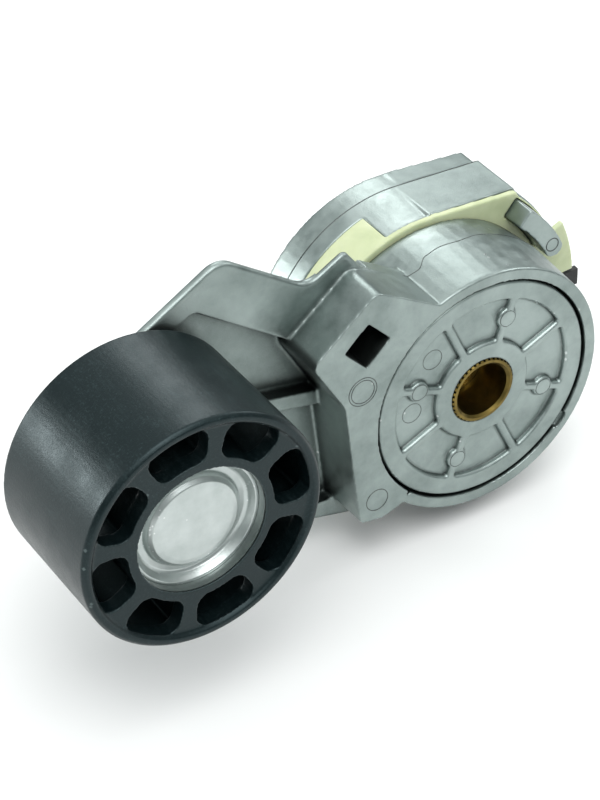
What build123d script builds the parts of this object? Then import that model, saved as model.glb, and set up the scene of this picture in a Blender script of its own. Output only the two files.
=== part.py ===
"""Spring-loaded belt tensioner with a smooth idler pulley.

Frame: the origin is the centre of the mounting bore on the mounting face, +Y points into the
engine, the pulley stands forward towards -Y, the arm reaches out towards -X and +Z is up.
Depths are counted forward from the mounting face, so a depth of 70 lies at Y = -70.
"""

from build123d import *

import math
import os

os.makedirs("parts", exist_ok=True)

# ---------------------------------------------------------------- driving dimensions, mm
# Base housing
base_depth = 31.0
seam_depth = 9.4
base_overhang = 2.2
base_wall = 4.3
base_floor = 6.5
base_hub_wall = 5.0
base_hub_depth = 11.5
lobe_rise = 10.4
lobe_rear_set_back = 1.5
lobe_corner_angle = 52.0
lobe_corner_reach = 1.2
lobe_end_angle = -13.0
lobe_run_out = 8.0
lobe_corner_turn = 3.0
draft_angle = 2.0

# Stops
finger_gap = 1.4
finger_width = 7.5
finger_start_angle = 27.5
finger_end_angle = 50.0
finger_rise = 11.0
finger_mark_radius = 2.6
finger_mark_turn = 2.0
bumper_angle = 0.8
bumper_radius = 3.6
bumper_rise = 7.0
bumper_socket = 4.0
bumper_round = 1.2
bumper_tail_reach = 7.3
bumper_tail_angles = (-1.6, 4.2)
arm_travel = 50.0
lug_span = 12.0
lug_length = 10.0
lug_set_in = 1.0
far_stop_span = 13.0

# Locating pin
pin_set_in = 12.6
pin_angle = 250.0
pin_radius = 3.0
pin_seat_radius = 3.3
pin_seat = 5.0
pin_stick_out = 5.0

# Arm casting
barrel_radius = 48.4
barrel_length = 36.5
barrel_swell = 1.1
parting_share = 0.41
lip_wall = 4.4
skirt_wall = 3.4
skirt_length = 19.5
web_thickness = 5.5
arm_hub_wall = 4.95
plate_set_forward = 11.8
plate_thickness = 7.9
plate_rim = 3.6
plate_end_radius = 27.5
plate_edge_radius = 1.5
plate_shoulder_round = 9.0
plate_hollow_round = 8.0
plate_ear_round = 2.5
plate_heel_round = 4.0
boss_top_round = 4.5
boss_side_round = 3.6
boss_waist_round = 10.0
boss_foot_round = 2.4
boss_heel_round = 8.0
pocket_floor = 2.5
pocket_wall = 2.5
pocket_rib = 6.0
pocket_round = 3.0
post_radius = 16.0
post_surround = 5.0
spigot_set_back = 1.0
backing_height = 5.0
boss_draft = 1.5
square_drive = 12.7
square_turn = 44.0
square_depth = 16.0

# Pivot
mount_bore_radius = 8.6
tube_wall = 5.4
tube_set_back = 0.6
bushing_step = 1.8
bushing_spigot_wall = 1.0
bushing_spigot_length = 8.6
bushing_chamfer = 0.9
knurl_wall = 2.4
knurl_teeth = 40
knurl_tooth = 0.45
knurl_length = 3.0
knurl_proud = 0.5
pivot_bushing_wall = 2.5
pivot_bushing_length = 13.5
washer_thickness = 1.7
washer_overhang = 2.0
dust_seal_width = 3.8

# Front cover
cover_gap = 0.9
cover_recess = 0.6
cover_thickness = 6.4
cover_pocket_depth = 2.2
cover_pocket_bevel = 0.8
cover_inner_land = 6.7
cover_outer_land = 7.3
cover_pocket_round = 0.9
rib_count = 8
rib_width = 3.2
first_rib_angle = 25.5
pad_radius = 3.9
pad_share = 0.54
pad_mark_inset = 0.5
floor_mark_angles = (136, 180)
lip_notch_depth = 2.2
lip_notches = ((-42.0, -34.0), (-134.0, -132.4))
lip_notch_width = 1.3

# Damper ring and spring
flange_thickness = 2.2
flange_inset = 0.2
flange_run_out = 9.0
sleeve_wall = 2.6
sleeve_length = 18.0
tab_length = 14.2
tab_start_angle = 108.5
tab_end_angle = 165.0
ear_reach = 5.0
ear_start_angle = 5.0
ear_end_angle = 25.0
wire_radius = 3.4
coil_turns = 4.5
seat_thickness = 1.8
seat_width_share = 1.3

# Pulley
pulley_x = -135.2
pulley_z = 23.9
pulley_radius = 43.5
pulley_width = 53.0
pulley_rear_gap = 2.3
rim_wall = 3.5
disc_recess = 1.4
disc_thickness = 6.0
hub_wall = 1.6
window_count = 8
window_span = 35.0
window_hub_gap = 0.1
window_rim_gap = 0.2
window_round_share = 0.36
first_window_angle = 12.7
spoke_width = 3.6
spoke_share = 0.45

# Bearing, bolt and cap
bearing_radius = 23.5
bearing_bore = 10.0
race_share = 0.267
groove_depth = 0.35
ball_count = 9
row_gap = 1.8
cage_wall = 2.2
cage_bar = 0.6
seal_thickness = 1.3
seal_set_in = 0.3
seal_room = 0.8
insert_wall = 1.5
insert_rear_overhang = 3.4
insert_set_back = 0.8
insert_shoulder = 1.6
insert_shoulder_length = 1.8
snap_width = 1.6
snap_reach = 0.9
snap_opening = (262, 278)
spacer_length = 7.0
bolt_radius = 6.0
bolt_hole_reach = 18.0
bolt_tip_gap = 1.0
bolt_head_flats = 19.0
bolt_head_height = 7.6
clamp_washer_overlap = 0.9
clamp_washer_thickness = 2.4
cap_set_back = 5.7
cap_room = 12.0
cap_sheet = 1.0
cap_set_in = 0.2
cap_groove = 3.2
cap_skirt = 4.4
cap_crown = 0.7

# Clearances and small edges
running_fit = 0.05
free_gap = 0.3
thrust_gap = 0.3
edge = 0.6
mark_depth = 0.3
mark_width = 0.5

# ---------------------------------------------------------------- derived sizes
draft = math.tan(math.radians(draft_angle))

# Depths forward of the mounting face
flange_front = base_depth + flange_thickness
barrel_rear = flange_front + free_gap
lip_depth = barrel_rear + barrel_length
parting_depth = barrel_rear + parting_share * barrel_length
arm_plate_rear = barrel_rear + plate_set_forward
arm_plate_front = arm_plate_rear + plate_thickness
cover_front = lip_depth - cover_recess
cover_rear = cover_front - cover_thickness
web_front_depth = cover_rear - washer_thickness - thrust_gap
web_rear_depth = web_front_depth - web_thickness
tube_front_depth = cover_rear - tube_set_back
ledge_depth = tube_front_depth - bushing_spigot_length
knurl_front = cover_front + knurl_proud
skirt_end_depth = barrel_rear - skirt_length
arm_hub_rear = base_hub_depth + 2 * thrust_gap
sleeve_rear_depth = base_depth - sleeve_length
tab_rear_depth = base_depth - tab_length

# Radii about the pivot
base_radius = barrel_radius + base_overhang
base_bore_radius = base_radius - base_wall
lobe_radius = base_radius + lobe_rise
lobe_seat = base_bore_radius + base_wall / 2
lip_inner_radius = barrel_radius - lip_wall
shell_cut_radius = (barrel_radius + lip_inner_radius) / 2
cover_radius = lip_inner_radius - cover_gap
sleeve_bore_radius = base_bore_radius - sleeve_wall
skirt_radius = sleeve_bore_radius - free_gap
skirt_inner = skirt_radius - skirt_wall
bushing_bore_radius = mount_bore_radius + bushing_step
spigot_radius = bushing_bore_radius + bushing_spigot_wall
knurl_radius = bushing_bore_radius + knurl_wall
tube_radius = mount_bore_radius + tube_wall
base_hub_radius = tube_radius + base_hub_wall
pivot_bore_radius = tube_radius + running_fit
arm_bore_radius = pivot_bore_radius + pivot_bushing_wall
arm_hub_radius = arm_bore_radius + arm_hub_wall
coil_radius = (skirt_inner + arm_hub_radius) / 2
pin_circle = base_radius - pin_set_in
cover_pocket_inner = knurl_radius + cover_inner_land
cover_pocket_outer = cover_radius - cover_outer_land
pad_circle = cover_pocket_inner + pad_share * (cover_pocket_outer - cover_pocket_inner)

# Stops
finger_inner = base_radius + finger_gap
finger_outer = finger_inner + finger_width
finger_middle = (finger_inner + finger_outer) / 2
ear_radius = lobe_radius + ear_reach
bumper_circle = finger_middle + free_gap
lug_outer = finger_outer - lug_set_in
bumper_reach = math.degrees((bumper_radius + free_gap) / bumper_circle)
lug_top_angle = bumper_angle - bumper_reach
lug_end_angle = lug_top_angle - lug_span
far_stop_angle = lug_end_angle - arm_travel - math.degrees(free_gap / bumper_circle)
far_stop_end = far_stop_angle - far_stop_span

# Pulley, bearing and bolt
pulley_at = (pulley_x, 0, pulley_z)
pulley_rear = arm_plate_front + pulley_rear_gap
pulley_front = pulley_rear + pulley_width
cap_face = pulley_front - cap_set_back
disc_front = pulley_front - disc_recess
disc_rear = disc_front - disc_thickness
race_wall = race_share * (bearing_radius - bearing_bore)
race_outer = bearing_radius - race_wall
race_inner = bearing_bore + race_wall
pitch_radius = (race_outer + race_inner) / 2
ball_radius = (race_outer - race_inner) / 2 + groove_depth
row_spacing = 2 * ball_radius + row_gap
bearing_width = row_spacing + 2 * (ball_radius + seal_thickness + seal_set_in + seal_room)
bearing_front = cap_face - cap_room
bearing_rear = bearing_front - bearing_width
bearing_middle = (bearing_rear + bearing_front) / 2
post_front = bearing_rear - spacer_length
insert_radius = bearing_radius + insert_wall
insert_rear = bearing_rear - insert_rear_overhang
shoulder_radius = race_outer + insert_shoulder
hub_radius = insert_radius + hub_wall
rim_inner = pulley_radius - rim_wall
insert_front = disc_front - insert_set_back
window_inner = hub_radius + window_hub_gap
window_outer = rim_inner - window_rim_gap
washer_front = bearing_front + clamp_washer_thickness
cap_radius = bearing_radius - cap_set_in
spoke_length = spoke_share * pulley_width


# ---------------------------------------------------------------- helpers
def front(depth):
    """Plane that faces forward at a depth, with its x along X and its y along Z."""
    return Plane.XZ.offset(depth)


def front_of_pulley(depth):
    """Plane that faces forward at a depth, centred on the pulley axis."""
    return Plane(origin=(pulley_x, -depth, pulley_z), x_dir=(1, 0, 0), z_dir=(0, -1, 0))


def polar(radius, degrees):
    """Point of a front plane at a radius and an angle."""
    turn = math.radians(degrees)
    return (radius * math.cos(turn), radius * math.sin(turn))


def turned(profile, at=(0, 0, 0)):
    """Solid turned about a line parallel to Y through a point, from (radius, depth) points."""
    with BuildPart() as body:
        with BuildSketch(Plane(origin=at, x_dir=(1, 0, 0), z_dir=(0, 0, 1))):
            with BuildLine():
                Polyline([(radius, -depth) for radius, depth in profile], close=True)
            make_face()
        revolve(axis=Axis(at, (0, 1, 0)))
    return body.part


def ring(inner, outer, rear, front_depth, at=(0, 0, 0)):
    """Plain ring between two radii and two depths."""
    corners = [(inner, rear), (outer, rear), (outer, front_depth), (inner, front_depth)]
    return turned(corners, at)


def sector(inner, outer, start, end):
    """Face between two radii and two angles."""
    middle = (start + end) / 2
    with BuildSketch() as face:
        with BuildLine():
            ThreePointArc(polar(outer, start), polar(outer, middle), polar(outer, end))
            Line(polar(outer, end), polar(inner, end))
            ThreePointArc(polar(inner, end), polar(inner, middle), polar(inner, start))
            Line(polar(inner, start), polar(outer, start))
        make_face()
    return face.sketch


def mark_ring(radius):
    """Face of the fine circle that an ejector pin leaves in a casting."""
    with BuildSketch() as face:
        Circle(radius)
        Circle(radius - mark_width, mode=Mode.SUBTRACT)
    return face.sketch


def beside_barrel(clear, degrees):
    """Point that lies clear of the barrel by a distance, at an angle about the pivot."""
    return polar(barrel_radius + clear, degrees)


def beside_pulley(across, up):
    """Point given by its distances from the pulley axis."""
    return (pulley_x + across, pulley_z + up)


def touch_point(from_x, from_z, side):
    """Point where a line from (from_x, from_z) touches the round end of the arm plate."""
    reach = math.hypot(from_x - pulley_x, from_z - pulley_z)
    heading = math.degrees(math.atan2(from_z - pulley_z, from_x - pulley_x))
    opening = side * math.degrees(math.acos(plate_end_radius / reach))
    return beside_pulley(*polar(plate_end_radius, heading + opening))


def round_corner(sketch, corner, radius):
    """Round the corner of a sketch that lies nearest to a point."""
    fillet(sketch.vertices().sort_by_distance((*corner, 0))[0], radius)


def save(piece, name):
    """Label a finished piece and write its STEP file."""
    piece.part.label = name
    export_step(piece.part, f"parts/{name}.step")


# ---------------------------------------------------------------- base housing
def lobe(radius):
    """Face of the thick side of the base: a flat that leaves the circle, then an arc about it."""
    corner_radius = radius + lobe_corner_reach
    flat_angle = lobe_corner_angle + math.degrees(math.acos(base_radius / corner_radius))
    lobe_start = polar(base_radius, flat_angle)
    corner = polar(corner_radius, lobe_corner_angle)
    arc_start = polar(radius, lobe_corner_angle - lobe_corner_turn)
    arc_middle = polar(radius, (lobe_corner_angle + lobe_end_angle) / 2)
    arc_end = polar(radius, lobe_end_angle)
    seat_end = polar(lobe_seat, lobe_end_angle - lobe_run_out)
    seat_middle = polar(lobe_seat, (flat_angle + lobe_end_angle) / 2)
    seat_start = polar(lobe_seat, flat_angle)
    with BuildSketch() as face:
        with BuildLine():
            Polyline(seat_start, lobe_start, corner, arc_start)
            ThreePointArc(arc_start, arc_middle, arc_end)
            Line(arc_end, seat_end)
            ThreePointArc(seat_end, seat_middle, seat_start)
        make_face()
    return face.sketch


def finger(clearance=0.0):
    """Face of the curved stop finger, with its round lower end."""
    middle = finger_middle
    half = finger_width / 2 + clearance
    extra = math.degrees(clearance / middle)
    with BuildSketch() as face:
        add(sector(middle - half, middle + half, finger_start_angle, finger_end_angle + extra))
        with Locations(polar(middle, finger_start_angle)):
            Circle(half)
    return face.sketch


base_profile = [
    (tube_radius, 0),
    (base_radius - seam_depth * draft, 0),
    (base_radius, seam_depth),
    (base_radius - (base_depth - seam_depth) * draft, base_depth),
    (base_bore_radius, base_depth),
    (base_bore_radius, base_floor),
    (base_hub_radius, base_floor),
    (base_hub_radius, base_hub_depth),
    (tube_radius, base_hub_depth),
]
with BuildPart() as base_housing:
    add(turned(base_profile))
    with BuildSketch(front(0)):
        add(lobe(lobe_radius - lobe_rear_set_back))
    extrude(amount=seam_depth)
    with BuildSketch(front(seam_depth)):
        add(lobe(lobe_radius))
    extrude(amount=base_depth - seam_depth)
    with BuildSketch(front(seam_depth)):
        add(sector(lobe_seat, lug_outer, far_stop_end, far_stop_angle))
    extrude(amount=base_depth - seam_depth)
    with BuildSketch(front(base_depth)):
        add(finger())
        add(sector(finger_inner, lug_outer, far_stop_end, far_stop_angle))
    extrude(amount=finger_rise)
    with BuildSketch(front(base_depth + finger_rise)):
        with Locations(polar(finger_middle, finger_start_angle + finger_mark_turn)):
            add(mark_ring(finger_mark_radius))
    extrude(amount=-mark_depth, mode=Mode.SUBTRACT)
    with BuildSketch(front(base_depth)):
        add(sector(sleeve_bore_radius, finger_inner, tab_start_angle, tab_end_angle))
    extrude(amount=tab_rear_depth - base_depth, mode=Mode.SUBTRACT)
    with BuildSketch(front(base_depth)):
        with Locations(polar(bumper_circle, bumper_angle)):
            Circle(bumper_radius)
    extrude(amount=-bumper_socket, mode=Mode.SUBTRACT)
    with BuildSketch(front(0)):
        with Locations(polar(pin_circle, pin_angle)):
            Circle(pin_seat_radius)
    extrude(amount=pin_seat, mode=Mode.SUBTRACT)
save(base_housing, "base_housing")

with BuildPart() as locating_pin:
    with BuildSketch(front(0)):
        with Locations(polar(pin_circle, pin_angle)):
            Circle(pin_seat_radius)
    extrude(amount=pin_seat)
    with BuildSketch(front(0)):
        with Locations(polar(pin_circle, pin_angle)):
            Circle(pin_radius)
    extrude(amount=-pin_stick_out)
    chamfer(locating_pin.edges().group_by(Axis.Y)[-1], length=edge)
save(locating_pin, "locating_pin")

with BuildPart() as stop_bumper:
    with BuildSketch(front(base_depth - bumper_socket)):
        with Locations(polar(bumper_circle, bumper_angle)):
            Circle(bumper_radius)
    extrude(amount=bumper_socket + bumper_rise)
    fillet(stop_bumper.edges().group_by(Axis.Y)[0], radius=bumper_round)
    with BuildSketch(front(base_depth)):
        add(sector(bumper_circle, lobe_radius + bumper_tail_reach, *bumper_tail_angles))
    extrude(amount=flange_thickness)
save(stop_bumper, "stop_bumper")

# ---------------------------------------------------------------- damper ring
tab_inner = (sleeve_bore_radius + base_bore_radius) / 2

with BuildPart() as damper_ring:
    add(ring(sleeve_bore_radius, base_bore_radius, sleeve_rear_depth, flange_front))
    with BuildSketch(front(base_depth)):
        add(lobe(lobe_radius - edge))
        add(
            sector(lobe_seat, ear_radius, lobe_end_angle - flange_run_out, ear_start_angle),
            mode=Mode.SUBTRACT,
        )
        add(sector(lobe_seat, ear_radius, ear_start_angle, ear_end_angle))
        add(finger(free_gap), mode=Mode.SUBTRACT)
        Circle(base_radius - flange_inset)
        Circle(sleeve_bore_radius, mode=Mode.SUBTRACT)
    extrude(amount=flange_thickness)
    with BuildSketch(front(tab_rear_depth)):
        add(sector(tab_inner, base_radius - flange_inset, tab_start_angle, tab_end_angle))
    extrude(amount=base_depth - tab_rear_depth)
save(damper_ring, "damper_ring")

# ---------------------------------------------------------------- torsion spring and its seat
coil_start = base_floor + seat_thickness + wire_radius + free_gap
coil_end = web_rear_depth - wire_radius - free_gap
coil_height = coil_end - coil_start

with BuildPart() as torsion_spring:
    with BuildLine() as coil:
        Helix(
            pitch=coil_height / coil_turns,
            height=coil_height,
            radius=coil_radius,
            center=(0, -coil_start, 0),
            direction=(0, -1, 0),
        )
    with BuildSketch(Plane(origin=coil.line @ 0, z_dir=coil.line % 0)):
        Circle(wire_radius)
    sweep(is_frenet=True)
save(torsion_spring, "torsion_spring")

with BuildPart() as spring_seat:
    add(
        ring(
            coil_radius - seat_width_share * wire_radius,
            coil_radius + seat_width_share * wire_radius,
            base_floor,
            base_floor + seat_thickness,
        )
    )
save(spring_seat, "spring_seat")

# ---------------------------------------------------------------- pivot tube, bushings and washer
tube_profile = [
    (mount_bore_radius, 0),
    (tube_radius, 0),
    (tube_radius, tube_front_depth),
    (spigot_radius, tube_front_depth),
    (spigot_radius, ledge_depth),
    (mount_bore_radius, ledge_depth),
]
with BuildPart() as pivot_tube:
    add(turned(tube_profile))
save(pivot_tube, "pivot_tube")

bushing_profile = [
    (bushing_bore_radius, ledge_depth),
    (spigot_radius, ledge_depth),
    (spigot_radius, tube_front_depth),
    (knurl_radius, tube_front_depth),
    (knurl_radius, knurl_front - knurl_proud),
    (knurl_radius - knurl_proud, knurl_front),
    (bushing_bore_radius + bushing_chamfer, knurl_front),
    (bushing_bore_radius, knurl_front - bushing_chamfer),
]
with BuildPart() as centre_bushing:
    add(turned(bushing_profile))
    with BuildSketch(front(knurl_front)):
        with PolarLocations(knurl_radius, knurl_teeth):
            Rectangle(2 * knurl_tooth, 2 * knurl_tooth)
    extrude(amount=-knurl_length, mode=Mode.SUBTRACT)
save(centre_bushing, "centre_bushing")

with BuildPart() as rear_pivot_bushing:
    add(ring(pivot_bore_radius, arm_bore_radius, arm_hub_rear, arm_hub_rear + pivot_bushing_length))
save(rear_pivot_bushing, "rear_pivot_bushing")

with BuildPart() as front_pivot_bushing:
    add(ring(pivot_bore_radius, arm_bore_radius, web_front_depth - pivot_bushing_length, web_front_depth))
save(front_pivot_bushing, "front_pivot_bushing")

washer_rear = web_front_depth + thrust_gap
dust_seal_radius = cover_radius - flange_inset

with BuildPart() as thrust_washer:
    add(ring(tube_radius, arm_hub_radius + washer_overhang, washer_rear, cover_rear))
save(thrust_washer, "thrust_washer")

with BuildPart() as dust_seal:
    add(ring(dust_seal_radius - dust_seal_width, dust_seal_radius, washer_rear, cover_rear))
save(dust_seal, "dust_seal")

# ---------------------------------------------------------------- front cover
first_pad_angle = first_rib_angle + 360 / rib_count

with BuildPart() as front_cover:
    add(ring(knurl_radius, cover_radius, cover_rear, cover_front))
    chamfer(front_cover.edges().group_by(Axis.Y)[0].sort_by(SortBy.RADIUS)[-1], length=edge)
    with BuildSketch(front(cover_front)) as pockets:
        Circle(cover_pocket_outer)
        Circle(cover_pocket_inner, mode=Mode.SUBTRACT)
        with PolarLocations((cover_pocket_inner + cover_radius) / 2, rib_count, first_rib_angle):
            Rectangle(cover_radius, rib_width, mode=Mode.SUBTRACT)
        with PolarLocations(pad_circle, rib_count // 2, first_pad_angle):
            Circle(pad_radius, mode=Mode.SUBTRACT)
        fillet(pockets.vertices(), radius=cover_pocket_round)
    extrude(amount=-cover_pocket_depth, mode=Mode.SUBTRACT)
    mouths = front_cover.edges().group_by(Axis.Y)[0]
    chamfer(mouths.filter_by(lambda edge: edge.length < cover_radius), length=cover_pocket_bevel)
    with BuildSketch(front(cover_front)):
        with PolarLocations(pad_circle, rib_count // 2, first_pad_angle):
            add(mark_ring(pad_radius - pad_mark_inset))
    extrude(amount=-mark_depth, mode=Mode.SUBTRACT)
    with BuildSketch(front(cover_front - cover_pocket_depth)):
        with Locations([polar(pad_circle, angle) for angle in floor_mark_angles]):
            add(mark_ring(pad_radius))
    extrude(amount=-mark_depth, mode=Mode.SUBTRACT)
save(front_cover, "front_cover")

# ---------------------------------------------------------------- arm casting
arm_profile = [
    (arm_bore_radius, web_front_depth),
    (lip_inner_radius, web_front_depth),
    (lip_inner_radius, lip_depth),
    (barrel_radius - edge / 2, lip_depth),
    (barrel_radius, lip_depth - edge / 2),
    (barrel_radius + barrel_swell, parting_depth),
    (barrel_radius, barrel_rear),
    (skirt_radius, barrel_rear),
    (skirt_radius, skirt_end_depth),
    (skirt_inner, skirt_end_depth),
    (skirt_inner, web_rear_depth),
    (arm_hub_radius, web_rear_depth),
    (arm_hub_radius, arm_hub_rear),
    (arm_bore_radius, arm_hub_rear),
]
# The plate runs from the barrel past a hollow in its upper edge to a shoulder, round the
# pulley axis and back along its lower edge. Its ends lie inside the barrel wall.
shoulder = beside_pulley(40.2, 56.1)
upper_hollow = beside_barrel(35.6, 137.1)
upper_ear = beside_barrel(32.2, 125.6)
upper_root = beside_barrel(20.7, 125.3)
ear_foot = beside_barrel(32.5, 131.4)
ear_inside = beside_barrel(0, 131.0)
upper_end = beside_barrel(0.7, 114.7)
lower_bend = beside_barrel(24.4, 217.2)
lower_corner = beside_barrel(15.3, 228.1)
lower_end = beside_barrel(-2.8, 232.1)

# The boss stands on the plate beside the barrel and carries the square drive.
boss_start = beside_barrel(0.1, 114.5)
boss_top = beside_barrel(26.0, 128.0)
boss_side = beside_barrel(31.5, 152.1)
boss_waist = beside_barrel(11.1, 164.8)
boss_foot = beside_barrel(14.6, 216.6)
boss_heel = beside_barrel(8.0, 223.4)
boss_end = beside_barrel(-0.2, 227.6)
boss_inside = beside_barrel(-20.1, 225.0)
square_place = beside_barrel(13.65, 142.0)
wide_mark = beside_barrel(6.0, 158.4)
low_mark = beside_barrel(4.5, 214.0)
wide_mark_radius = 5.6
low_mark_radius = 4.4

# The hollow in the plate follows its outline inside a rim.
hollow = [
    beside_barrel(27.5, 151.2),
    beside_pulley(29.7, 39.5),
    beside_pulley(19.2, 33.6),
    beside_pulley(11.2, 6.1),
    beside_pulley(15.2, -30.9),
    beside_barrel(20.4, 212.5),
    beside_barrel(13.8, 216.5),
    beside_barrel(2.6, 168.7),
]
pulley_heading = math.degrees(math.atan2(pulley_z, pulley_x))
upper_touch = touch_point(*shoulder, side=1)
lower_touch = touch_point(*lower_bend, side=-1)

with BuildPart() as plate:
    with BuildSketch(front(arm_plate_front - plate_rim)) as plate_outline:
        with BuildLine():
            Polyline(
                lower_touch,
                lower_bend,
                lower_corner,
                lower_end,
                upper_end,
                upper_root,
                upper_ear,
                upper_hollow,
                shoulder,
                upper_touch,
            )
            ThreePointArc(upper_touch, beside_pulley(-plate_end_radius, 0), lower_touch)
        make_face()
        round_corner(plate_outline, shoulder, plate_shoulder_round)
        round_corner(plate_outline, upper_hollow, plate_hollow_round)
        round_corner(plate_outline, upper_ear, plate_ear_round)
        round_corner(plate_outline, lower_corner, plate_heel_round)
    extrude(amount=plate_rim)
    fillet(plate.edges().group_by(Axis.Y)[0], radius=plate_edge_radius)
    fillet(plate.edges().group_by(Axis.Y)[-1], radius=plate_edge_radius)
    with BuildSketch(front(arm_plate_rear)) as ear:
        with BuildLine():
            Polyline(upper_ear, ear_foot, ear_inside, upper_end, upper_root, close=True)
        make_face()
        round_corner(ear, upper_ear, plate_ear_round)
    extrude(amount=plate_thickness - plate_edge_radius)
    with BuildSketch(front(arm_plate_rear)):
        with BuildLine():
            Polyline(hollow, close=True)
        make_face()
        offset(amount=pocket_wall, kind=Kind.INTERSECTION)
        with Locations(beside_pulley(0, 0)):
            Circle(post_radius + post_surround)
    extrude(amount=plate_thickness - plate_edge_radius)
    with BuildSketch(front(arm_plate_rear)):
        with Locations(Location((pulley_x / 2, pulley_z / 2), pulley_heading)):
            Rectangle(-pulley_x, pocket_rib)
    extrude(amount=-backing_height)
    with BuildSketch(front(arm_plate_front)) as pocket:
        with BuildLine():
            Polyline(hollow, close=True)
        make_face()
        fillet(pocket.vertices(), radius=pocket_round)
        with Locations(beside_pulley(0, 0)):
            Circle(post_radius + post_surround, mode=Mode.SUBTRACT)
        with Locations(Location((pulley_x / 2, pulley_z / 2), pulley_heading)):
            Rectangle(-pulley_x, pocket_rib, mode=Mode.SUBTRACT)
    extrude(amount=pocket_floor - plate_thickness, mode=Mode.SUBTRACT)
    with BuildSketch(front(arm_plate_rear - backing_height)):
        Circle(shell_cut_radius)
    extrude(amount=backing_height + plate_thickness, mode=Mode.SUBTRACT)

with BuildPart() as boss:
    with BuildSketch(front(lip_depth)) as boss_outline:
        with BuildLine():
            Polyline(
                boss_start,
                boss_top,
                boss_side,
                boss_waist,
                boss_foot,
                boss_heel,
                boss_end,
                boss_inside,
                close=True,
            )
        make_face()
        round_corner(boss_outline, boss_top, boss_top_round)
        round_corner(boss_outline, boss_side, boss_side_round)
        round_corner(boss_outline, boss_waist, boss_waist_round)
        round_corner(boss_outline, boss_foot, boss_foot_round)
        round_corner(boss_outline, boss_heel, boss_heel_round)
    extrude(amount=-(lip_depth - arm_plate_rear - pocket_floor), taper=-boss_draft)
    with BuildSketch(front(0)):
        Circle(shell_cut_radius)
    extrude(amount=lip_depth, mode=Mode.SUBTRACT)

bolt_hole_depth = clamp_washer_thickness + bearing_width + bolt_hole_reach

with BuildPart() as tensioner_arm:
    add(turned(arm_profile))
    add(plate.part)
    add(boss.part)
    with BuildSketch(front_of_pulley(arm_plate_rear - backing_height)):
        Circle(post_radius)
    extrude(amount=post_front - arm_plate_rear + backing_height)
    with BuildSketch(front_of_pulley(post_front)):
        Circle(bearing_bore)
    extrude(amount=spacer_length + bearing_width - spigot_set_back)
    with BuildSketch(front_of_pulley(bearing_front)):
        Circle(bolt_radius)
    extrude(amount=-bolt_hole_depth, mode=Mode.SUBTRACT)
    with BuildSketch(front(barrel_rear)):
        add(sector(shell_cut_radius, lug_outer, lug_end_angle, lug_top_angle))
    extrude(amount=lug_length)
    with BuildSketch(front(lip_depth)):
        with Locations(Location(square_place, square_turn)):
            Rectangle(square_drive, square_drive)
    extrude(amount=-square_depth, mode=Mode.SUBTRACT)
    with BuildSketch(front(lip_depth)):
        with Locations(wide_mark):
            add(mark_ring(wide_mark_radius))
            add(mark_ring(wide_mark_radius - 2 * mark_width))
        with Locations(low_mark):
            add(mark_ring(low_mark_radius))
    extrude(amount=-mark_depth, mode=Mode.SUBTRACT)
    with BuildSketch(front(lip_depth)):
        for start, end in lip_notches:
            add(sector(cover_radius, lip_inner_radius + lip_notch_width, start, end))
    extrude(amount=-lip_notch_depth, mode=Mode.SUBTRACT)
save(tensioner_arm, "tensioner_arm")

# ---------------------------------------------------------------- pulley
pulley_profile = [
    (insert_radius, insert_rear),
    (hub_radius, insert_rear),
    (hub_radius, disc_rear),
    (rim_inner, disc_rear),
    (rim_inner, pulley_rear + edge),
    (rim_inner + edge, pulley_rear),
    (pulley_radius - 2 * edge, pulley_rear),
    (pulley_radius, pulley_rear + 2 * edge),
    (pulley_radius, pulley_front - 2 * edge),
    (pulley_radius - 2 * edge, pulley_front),
    (rim_inner + edge, pulley_front),
    (rim_inner - edge, disc_front),
    (cap_radius, disc_front),
    (cap_radius, insert_front),
    (insert_radius, insert_front),
]
window_half = window_span / 2
window_round = window_round_share * (window_outer - window_inner)
spoke_circle = (hub_radius + rim_inner) / 2
first_spoke_angle = first_window_angle + 180 / window_count

with BuildPart() as idler_pulley:
    add(turned(pulley_profile, pulley_at))
    with BuildSketch(front_of_pulley(disc_front)) as windows:
        with PolarLocations(0, window_count, first_window_angle):
            add(sector(window_inner, window_outer, -window_half, window_half))
        fillet(windows.vertices(), radius=window_round)
    extrude(amount=-disc_thickness, mode=Mode.SUBTRACT)
    with BuildSketch(front_of_pulley(disc_rear)):
        with PolarLocations(spoke_circle, window_count, first_spoke_angle):
            Rectangle(rim_inner - hub_radius + edge, spoke_width)
    extrude(amount=-spoke_length)
save(idler_pulley, "idler_pulley")

snap_rear = bearing_rear - snap_width
snap_radius = bearing_radius + snap_reach
shoulder_front = bearing_front + insert_shoulder_length
insert_profile = [
    (bearing_radius, insert_rear),
    (insert_radius, insert_rear),
    (insert_radius, insert_front),
    (cap_radius, insert_front),
    (cap_radius, shoulder_front),
    (shoulder_radius, shoulder_front),
    (shoulder_radius, bearing_front),
    (bearing_radius, bearing_front),
    (bearing_radius, bearing_rear),
    (snap_radius, bearing_rear),
    (snap_radius, snap_rear),
    (bearing_radius, snap_rear),
]
with BuildPart() as pulley_insert:
    add(turned(insert_profile, pulley_at))
save(pulley_insert, "pulley_insert")

with BuildPart() as retaining_ring:
    add(ring(shoulder_radius, snap_radius, snap_rear, bearing_rear, pulley_at))
    with BuildSketch(front_of_pulley(snap_rear)):
        add(sector(race_outer, insert_radius, *snap_opening))
    extrude(amount=snap_width, mode=Mode.SUBTRACT)
save(retaining_ring, "retaining_ring")

cap_skirt_end = cap_face - cap_skirt
groove_floor = cap_face - cap_groove
groove_back = groove_floor - cap_sheet
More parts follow.
